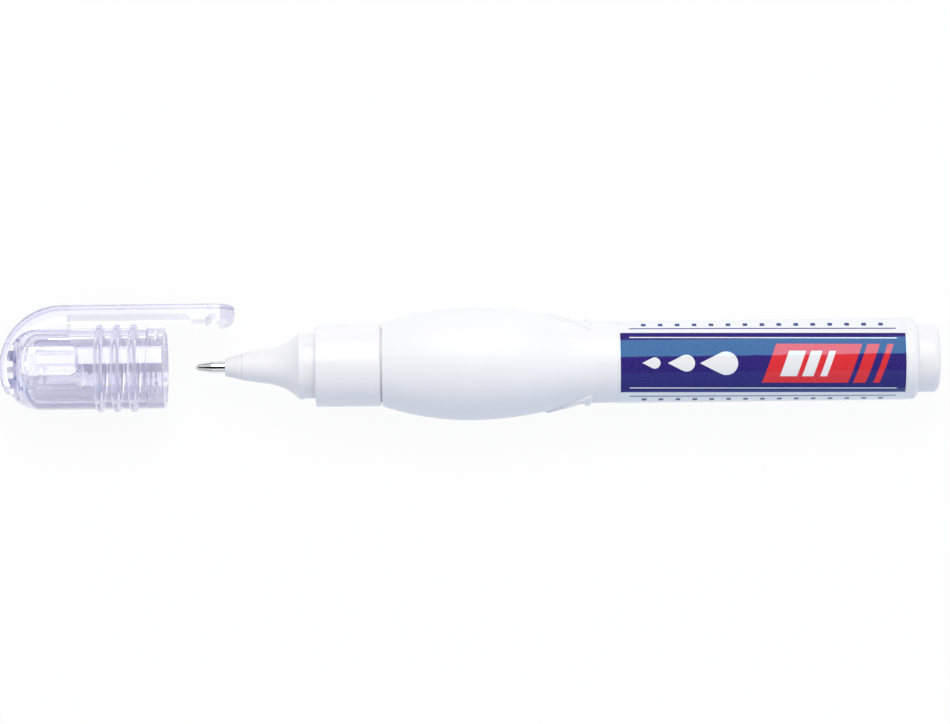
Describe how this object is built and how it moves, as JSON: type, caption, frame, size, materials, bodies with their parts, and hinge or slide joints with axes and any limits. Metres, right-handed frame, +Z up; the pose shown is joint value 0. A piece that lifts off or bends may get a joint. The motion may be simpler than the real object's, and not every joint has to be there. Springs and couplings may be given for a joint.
{
  "type": "correction pen",
  "caption": "Squeeze correction pen with a bulged soft grip, a sprung ball point, a wrapped label and a clear pull-off cap with a pocket clip.",
  "frame": {"origin": "on the pen's axis, in the middle of the labelled barrel", "axes": "+X along the pen from the tip to the rear plug, +Z up with the pen lying on its side, +Y towards the side that the pocket clip is on"},
  "size_m": [0.1668, 0.0214, 0.02],
  "materials": {
    "soft_white_plastic": "soft satin white",
    "white_plastic": "moulded satin white",
    "printed_film": "glossy printed film",
    "bright_metal": "polished",
    "steel": "bright drawn",
    "clear_plastic": "clear, faint violet tint"
  },
  "bodies": {
    "pen": {"squeeze_bottle": "soft_white_plastic", "label": "printed_film", "rear_plug": "white_plastic", "nose_section": "white_plastic", "tip_holder": "white_plastic", "metal_tip": "bright_metal", "valve_spring": "steel", "spring_seat": "white_plastic"},
    "valve": {"push_pin": "steel"},
    "point_ball": {"tip_ball": "bright_metal"},
    "stirrer": {"mixing_ball": "steel"},
    "pulled_cap": {"cap": "clear_plastic"}
  },
  "joints": [
    {"name": "cap_pull", "type": "slide", "parent": "pen", "child": "pulled_cap", "axis": [1, 0, 0], "range_m": [0, 0.0266]},
    {"name": "tip_press", "type": "slide", "parent": "pen", "child": "valve", "axis": [1, 0, 0], "range_m": [0, 0.0003], "stiffness_N_per_m": 400, "springref_m": -0.0005, "deforming": ["valve_spring"]},
    {"name": "ball_roll", "type": "hinge", "parent": "valve", "child": "point_ball", "pos_m": [-0.10005, 0, 0], "axis": [0, 1, 0], "continuous": true},
    {"name": "shake", "type": "slide", "parent": "pen", "child": "stirrer", "axis": [1, 0, 0], "range_m": [0, 0.0804]}
  ]
}
